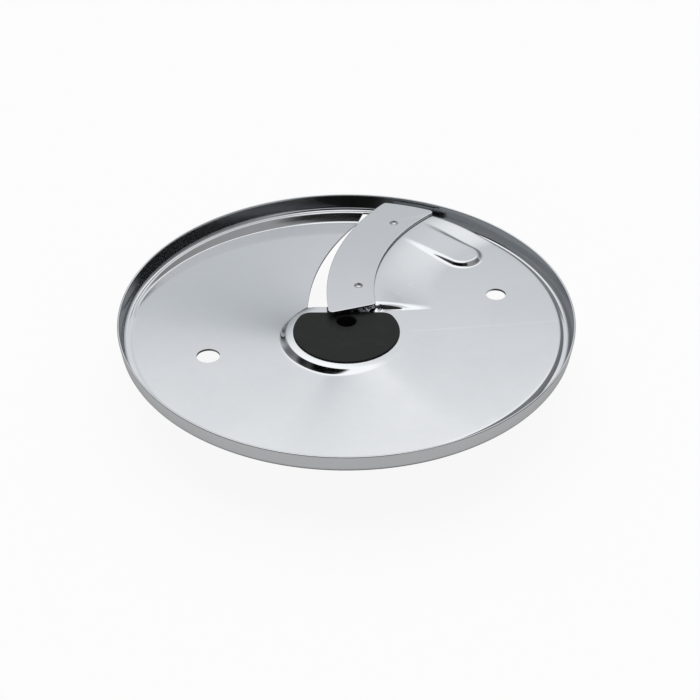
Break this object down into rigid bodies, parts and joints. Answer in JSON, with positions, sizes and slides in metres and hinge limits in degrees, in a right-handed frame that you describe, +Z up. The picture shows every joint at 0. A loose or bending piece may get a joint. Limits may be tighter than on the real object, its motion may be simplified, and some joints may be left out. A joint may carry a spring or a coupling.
{
  "type": "food processor slicing disc",
  "caption": "Round stamped steel slicing disc with a turned-up rim, a curved blade over a throat, a boss with a black D-shaped hub cap and a keyed hub below.",
  "frame": {"origin": "on the spin axis, at the foot of the hub", "axes": "+Z up along the spin axis to the cutting side; the blade lies towards +Y and the lower peg hole towards -X"},
  "size_m": [0.18, 0.18, 0.0299],
  "materials": {
    "plate_steel": "stamped stainless sheet, satin bright",
    "blade_steel": "fine ground blade steel",
    "rivet_steel": "pressed rivet, satin",
    "hub_plastic": "moulded black plastic, fine matt texture",
    "screw_steel": "plain steel screw"
  },
  "bodies": {
    "root": {"disc_plate": "plate_steel", "slicing_blade": "blade_steel", "inner_blade_rivet": "rivet_steel", "outer_blade_rivet": "rivet_steel", "hub_cap": "hub_plastic", "hub_body": "hub_plastic", "hub_screw_front": "screw_steel", "hub_screw_left": "screw_steel", "hub_screw_right": "screw_steel"}
  },
  "joints": []
}
